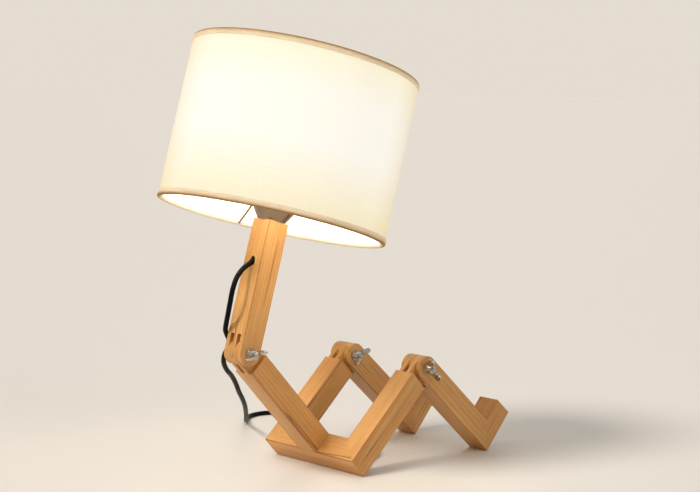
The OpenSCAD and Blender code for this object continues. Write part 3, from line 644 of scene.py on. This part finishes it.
def moulded(name, colour, rough, scale, depth, sockets=()):
    """An even colour under a fine grain."""
    made = finish(name, {"Base Color": colour, **dict(sockets)})
    grain = noise(made, own_coordinates(made), scale, 3.0, 0.6)
    connect(made, "Roughness", spread(made, grain, rough - ROUGH_PLAY, rough + ROUGH_PLAY, 0.3, 0.7))
    relief(made, grain, depth)
    return made


sheath = moulded("cord sheath", rgb(8, 6, 5), 0.40, 90.0, 0.08 * MM, {"Specular IOR Level": 0.10})
black = moulded("grained black", rgb(38, 37, 37), 0.50, 1400.0, 0.05 * MM)
phenolic = moulded("black phenolic", rgb(30, 27, 26), 0.30, 300.0, 0.02 * MM)
cream = moulded("cream plastic", rgb(238, 233, 219), 0.40, 400.0, 0.02 * MM)
porcelain = moulded("porcelain", rgb(240, 237, 228), 0.35, 700.0, 0.03 * MM, {"Coat Weight": 0.4})
wear(cord, "cord_inner", sheath)
wear("switch_base", "switch_cover", "switch_rocker", "plug_body", black)
wear("holder_barrel", phenolic)
wear("holder_core", porcelain)
wear("shade_ring_nut", "bulb_base", cream)
print("moulded:", ", ".join(made.name for made in (sheath, black, phenolic, cream, porcelain)))

# %% [markdown]
# ## Light through the shade
# The bulb is an opal globe that is on, so it shines by itself and lights the white film from within.
# The film and the cloth also glow by themselves, which is painted light. The cloth shows that light:
# strongest level with the globe, a little weaker towards both rims and where the eye meets the cloth
# at a slant, because the light then crosses more thread.

# %% Globe and film
GLOBE_TONES = ((0.3, rgb(255, 232, 200)), (0.7, rgb(255, 238, 212)))
FILM_TONES = ((0.3, rgb(255, 240, 214)), (0.7, rgb(255, 246, 226)))
GLOBE_GLOW = 17.0
FILM_GLOW = 0.9

globe = finish("opal globe", {
    "Base Color": rgb(252, 250, 244), "Roughness": 0.25, "Emission Strength": GLOBE_GLOW,
})
cloudy = noise(globe, own_coordinates(globe), 25.0, 2.0)
connect(globe, "Emission Color", ramp(globe, cloudy, *GLOBE_TONES))
wear("bulb_globe", globe)

# the film's own glow is painted light, in cloudy tones
film = finish("white film", {
    "Base Color": rgb(250, 248, 240), "Roughness": 0.55, "Emission Strength": FILM_GLOW,
})
painted_glow_clouds = noise(film, own_coordinates(film), 40.0, 3.0)
connect(film, "Emission Color", ramp(film, painted_glow_clouds, *FILM_TONES))
relief(film, noise(film, own_coordinates(film), 220.0), 0.03 * MM)
wear("shade_liner", film)
print("the globe shines", round(GLOBE_GLOW / FILM_GLOW), "times as strongly as the film")

# %% [markdown]
# The weave is plain: warp and weft threads 0.9 mm apart, each a row of soft ridges. Natural thread
# swells here and there, which shows as thin streaks along both directions.

# %% Woven cloth
THREAD = 0.9 * MM
CLOTH_GLOW = 0.76
GLOW_BY_HEIGHT = (
    (0.0, (0.90, 0.80, 0.55, 1)), (0.12, (0.97, 0.88, 0.66, 1)), (0.42, (1.0, 0.99, 0.93, 1)),
    (0.72, (1.0, 0.99, 0.92, 1)), (0.93, (1.0, 0.94, 0.74, 1)), (1.0, (0.94, 0.85, 0.60, 1)),
)
GLOW_BY_SLANT = ((0.45, WHITE), (0.98, (0.84, 0.76, 0.62, 1)))
# at scale 1 the band pattern repeats every 2 pi / 20 metres
WAVE_PERIOD = 2 * pi / 20


def woven(name, thread, strength):
    """Returns a finish, its flat coordinates, the height of its threads and the streaks in it."""
    made = finish(name, {
        "Roughness": 0.85, "Specular IOR Level": 0.25, "Emission Strength": strength,
    })
    flat = add(made, "TexCoord", output=2)
    fine = WAVE_PERIOD / thread
    bands = {"Vector": flat, "Scale": fine, "Distortion": 0.4, "Detail": 1.0}
    rows = [add(made, "TexWave", bands, wave_type="BANDS", bands_direction=way) for way in "XY"]
    threads = add(made, "Math", {0: rows[0], 1: rows[1]}, operation="ADD")
    upright = noise(made, stretched(made, flat, (900, 28, 1)), detail=2.0)
    level = noise(made, stretched(made, flat, (28, 900, 1)), detail=2.0)
    streaks = add(made, "Math", {0: upright, 1: level}, operation="ADD")
    return made, flat, threads, streaks


cloth, flat_cloth, threads, streaks = woven("shade cloth", THREAD, CLOTH_GLOW)
up_cloth = add(cloth, "SeparateXYZ", {0: flat_cloth}, output=1)
glow = ramp(cloth, spread(cloth, up_cloth, 0.0, 1.0, 0.0, SHADE_H), *GLOW_BY_HEIGHT)
slant = add(cloth, "LayerWeight", {"Blend": 0.5}, output=1)
glow = multiply(cloth, glow, ramp(cloth, slant, *GLOW_BY_SLANT))
pale_thread = spread(cloth, streaks, 0.975, 1.02, 0.75, 1.25)
weave_light = spread(cloth, threads, 0.96, 1.02, 0.0, 2.0)
shown = add(cloth, "Math", {0: pale_thread, 1: weave_light}, operation="MULTIPLY")
connect(cloth, "Emission Color", multiply(cloth, glow, shown))
connect(cloth, "Base Color", multiply(cloth, rgb(150, 143, 126), shown))
relief(cloth, threads, 0.10 * MM)
wear(cover, lap, cloth)
print(round(2 * pi * SHADE_R / THREAD), "threads go up the shade")

# %% [markdown]
# The hem is tape of the same cloth, folded over the wire. It lets little light through, and its colour
# is painted shade: tan where the doubled cloth lets less light through, nearly brown where the wire
# under the rim casts a painted shadow, and pale again on its inner flap.

# %% Hem tape
TAPE_THREAD = 0.7 * MM
TAPE_GLOW = 0.22
# painted shade across the tape's width: tan where the doubled cloth lets less light through; the dark
# stops from 0.38 to 0.50 are the wire's painted shadow under the rim
TAPE_SHADE_ACROSS = (
    (0.0, rgb(238, 218, 184)), (0.14, rgb(240, 220, 186)), (0.28, rgb(222, 192, 150)),
    (0.38, rgb(160, 124, 80)), (0.50, rgb(150, 114, 72)), (0.66, rgb(232, 212, 176)),
    (1.0, rgb(252, 244, 226)),
)
tape, flat_tape, threads, streaks = woven("hem tape", TAPE_THREAD, TAPE_GLOW)
across = add(tape, "SeparateXYZ", {0: flat_tape}, output=1)
painted_tape_shade = ramp(tape, across, *TAPE_SHADE_ACROSS)
painted_tape_shade = multiply(tape, painted_tape_shade, spread(tape, streaks, 0.88, 1.08, 0.75, 1.25))
# the painted shade colours both the tape's surface and its glow
connect(tape, "Base Color", painted_tape_shade)
connect(tape, "Emission Color", painted_tape_shade)
relief(tape, threads, 0.12 * MM)
wear(bottom_hem, top_hem, tape)
print("the tape glows", round(TAPE_GLOW / CLOTH_GLOW, 2), "times as strongly as the cloth")

# %% [markdown]
# ## Floor and light
# A plain pale floor and three wide soft lamps, none of which clips. They are so far off that the
# floor is equally bright near and far. The strongest stands behind the figure's back, a weaker one
# fills its right side, and the third rims the far side.

# %% Floor
FLOOR_REACH = 60.0
floor_points = FLOOR_REACH * np.array([[(-1, -1, 0), (1, -1, 0)], [(-1, 1, 0), (1, 1, 0)]], float)
floor = grid_piece("floor", floor_points)
pale = finish("pale floor", {"Base Color": rgb(226, 220, 212), "Roughness": 0.6})
relief(pale, noise(pale, own_coordinates(pale), 90.0, 4.0), 0.05 * MM)
wear(floor, pale)

# %% Lamps in the room
LAMPS = {
    "key": ((-1.6, 0.2, 1.7), 16, 2.15, (1.0, 0.965, 0.92)),
    "fill": ((0.2, -2.0, 1.0), 40, 0.44, (1.0, 0.96, 0.91)),
    "rim": ((1.3, 1.3, 1.5), 40, 0.35, (0.95, 0.97, 1.0)),
}
for name, (place, width, strength, colour) in LAMPS.items():
    data = bpy.data.lights.new(name, "SUN")
    data.energy, data.angle, data.color = strength, radians(width), colour
    lamp = bpy.data.objects.new(name, data)
    lamp.location = place
    lamp.rotation_euler = lamp.location.to_track_quat("Z", "Y").to_euler()
    bpy.context.scene.collection.objects.link(lamp)
    print(name, "is", width, "degrees wide, strength", strength)

# %% [markdown]
# The room itself is one even pale tone, the same as the floor far off. It lights the lamp from all
# sides, but more weakly than it looks, so that the bars keep a light and a dark side.

# %% Surroundings
ROOM_SEEN = rgb(228, 220, 208)
ROOM_LIGHT = rgb(255, 250, 243)
ROOM_STRENGTH = 0.41

world = bpy.data.worlds.new("room")
bpy.context.scene.world = world
world.use_nodes = True
tree = world.node_tree
seen = tree.nodes.new("ShaderNodeBackground")
seen.inputs[0].default_value = ROOM_SEEN
shine = tree.nodes["Background"]
shine.inputs[0].default_value = ROOM_LIGHT
shine.inputs[1].default_value = ROOM_STRENGTH
choice = tree.nodes.new("ShaderNodeMixShader")
ray = tree.nodes.new("ShaderNodeLightPath")
tree.links.new(ray.outputs["Is Camera Ray"], choice.inputs[0])
tree.links.new(shine.outputs[0], choice.inputs[1])
tree.links.new(seen.outputs[0], choice.inputs[2])
tree.links.new(choice.outputs[0], tree.nodes["World Output"].inputs[0])
bpy.context.scene.view_settings.view_transform = "Standard"
